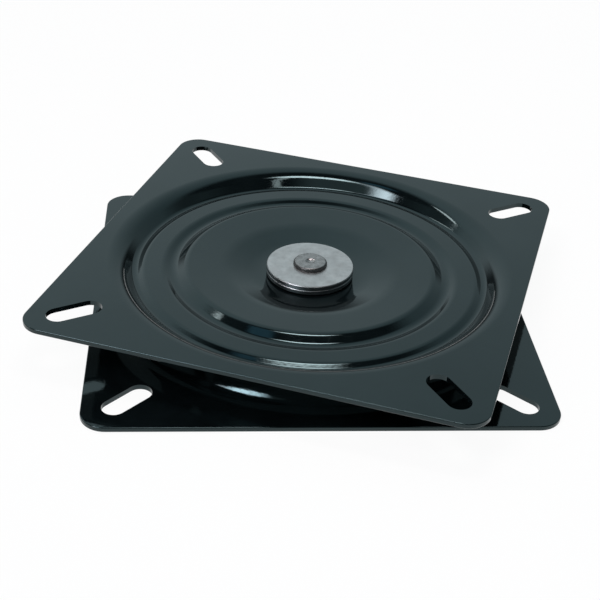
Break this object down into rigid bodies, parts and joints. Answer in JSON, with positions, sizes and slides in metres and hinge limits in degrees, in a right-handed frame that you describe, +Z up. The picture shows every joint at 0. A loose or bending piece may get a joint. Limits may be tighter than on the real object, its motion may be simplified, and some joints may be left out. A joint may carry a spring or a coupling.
{
  "type": "boat seat swivel",
  "caption": "Square seat swivel: dished black steel plates back to back that turn freely on a central rivet and a ring of balls, with slotted corners for a seat and its base.",
  "frame": {"origin": "on the rivet's axis, in the plane of the lower plate's flange face, which rests on the base", "axes": "+Z up the rivet's axis towards the seat; X and Y along the lower plate's edges"},
  "size_m": [0.2238, 0.2238, 0.0212],
  "materials": {
    "black_paint": "gloss black baked paint on pressed steel",
    "zinc_plate": "dull zinc plating with fine scuffs",
    "bare_steel": "clenched steel, satin",
    "ball_steel": "polished bearing steel",
    "black_nylon": "plain moulded nylon"
  },
  "bodies": {
    "base": {"lower_plate": "black_paint", "pivot_rivet": "bare_steel", "rivet_washer": "zinc_plate", "thrust_washer": "zinc_plate", "slip_washer": "black_nylon"},
    "top": {"upper_plate": "black_paint"},
    "race": {"ball_cage": "black_nylon", "ball_01": "ball_steel", "ball_02": "ball_steel", "ball_03": "ball_steel", "ball_04": "ball_steel", "ball_05": "ball_steel", "ball_06": "ball_steel", "ball_07": "ball_steel", "ball_08": "ball_steel", "ball_09": "ball_steel", "ball_10": "ball_steel", "ball_11": "ball_steel", "ball_12": "ball_steel", "ball_13": "ball_steel", "ball_14": "ball_steel"}
  },
  "joints": [
    {"name": "swivel", "type": "hinge", "parent": "base", "child": "top", "pos_m": [0, 0, 0.01057], "axis": [0, 0, 1], "continuous": true},
    {"name": "cage_turn", "type": "hinge", "parent": "base", "child": "race", "pos_m": [0, 0, 0.01057], "axis": [0, 0, 1], "continuous": true}
  ],
  "couplings": [
    {"joint": "cage_turn", "follows": "swivel", "ratio": 0.5}
  ]
}
